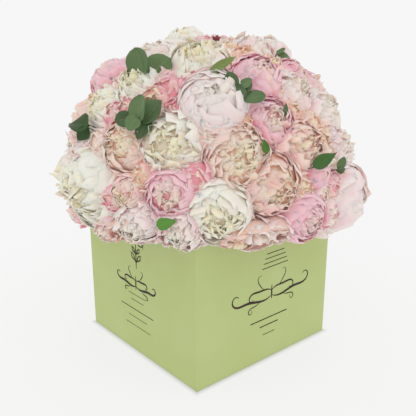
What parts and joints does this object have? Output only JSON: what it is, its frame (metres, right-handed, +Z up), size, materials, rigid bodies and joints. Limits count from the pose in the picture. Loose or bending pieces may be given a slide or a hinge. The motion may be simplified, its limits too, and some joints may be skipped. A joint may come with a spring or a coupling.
{
  "type": "peony bouquet in a square flower box",
  "caption": "Dome of white, blush, pink and peach peonies with eucalyptus and peony leaves, stems set in wet floral foam in a lined square card box.",
  "frame": {"origin": "middle of the box's base, on the surface it stands on", "axes": "+Z up, +X and +Y square to the box's side faces"},
  "size_m": [0.4737, 0.4861, 0.4966],
  "materials": {
    "petals_ivory": "soft ivory petal, warm yellow towards the core",
    "petals_blush": "soft blush white petal",
    "petals_pink": "soft lilac pink petal, deeper in the folds",
    "petals_peach": "soft peach cream petal",
    "eucalyptus_leaf": "waxy grey green leaf",
    "peony_leaf": "satin deep green leaf",
    "box_card": "matt pale green printed card",
    "liner_film": "thin clear grey plastic",
    "floral_foam": "wet green phenolic foam"
  },
  "bodies": {
    "root": {"card_box": "box_card", "waterproof_liner": "liner_film", "foam_block": "floral_foam", "foam_crown": "floral_foam", "peony_open_01": "petals_ivory", "peony_open_02": "petals_blush", "peony_ball_03": "petals_ivory", "peony_open_04": "petals_blush", "peony_ball_05": "petals_blush", "peony_cup_06": "petals_pink", "peony_ball_07": "petals_pink", "peony_open_08": "petals_blush", "peony_open_09": "petals_pink", "peony_ball_10": "petals_pink", "peony_open_11": "petals_ivory", "peony_open_12": "petals_ivory", "peony_ball_13": "petals_blush", "peony_cup_14": "petals_pink", "peony_open_15": "petals_peach", "peony_open_16": "petals_blush", "peony_open_17": "petals_ivory", "peony_open_18": "petals_peach", "peony_open_19": "petals_peach", "peony_open_20": "petals_ivory", "peony_cup_21": "petals_pink", "peony_cup_22": "petals_peach", "peony_open_23": "petals_blush", "peony_open_24": "petals_blush", "peony_cup_25": "petals_ivory", "peony_open_26": "petals_peach", "peony_cup_27": "petals_pink", "peony_ball_28": "petals_blush", "peony_bud_29": "petals_pink", "peony_open_30": "petals_blush", "peony_open_31": "petals_blush", "peony_open_32": "petals_blush", "peony_open_33": "petals_ivory", "peony_open_34": "petals_blush", "peony_cup_35": "petals_pink", "peony_open_36": "petals_ivory", "peony_open_37": "petals_peach", "peony_open_38": "petals_blush", "peony_cup_39": "petals_pink", "peony_open_40": "petals_peach", "peony_open_41": "petals_ivory", "peony_open_42": "petals_blush", "peony_cup_43": "petals_pink", "peony_open_44": "petals_ivory", "peony_open_45": "petals_blush", "peony_open_46": "petals_peach", "peony_open_47": "petals_blush", "peony_open_48": "petals_peach", "peony_open_49": "petals_ivory", "peony_cup_50": "petals_pink", "eucalyptus_left": "eucalyptus_leaf", "eucalyptus_top": "eucalyptus_leaf", "eucalyptus_middle": "eucalyptus_leaf", "eucalyptus_back": "eucalyptus_leaf", "peony_leaf_right": "peony_leaf", "peony_leaf_left": "peony_leaf"}
  },
  "joints": []
}
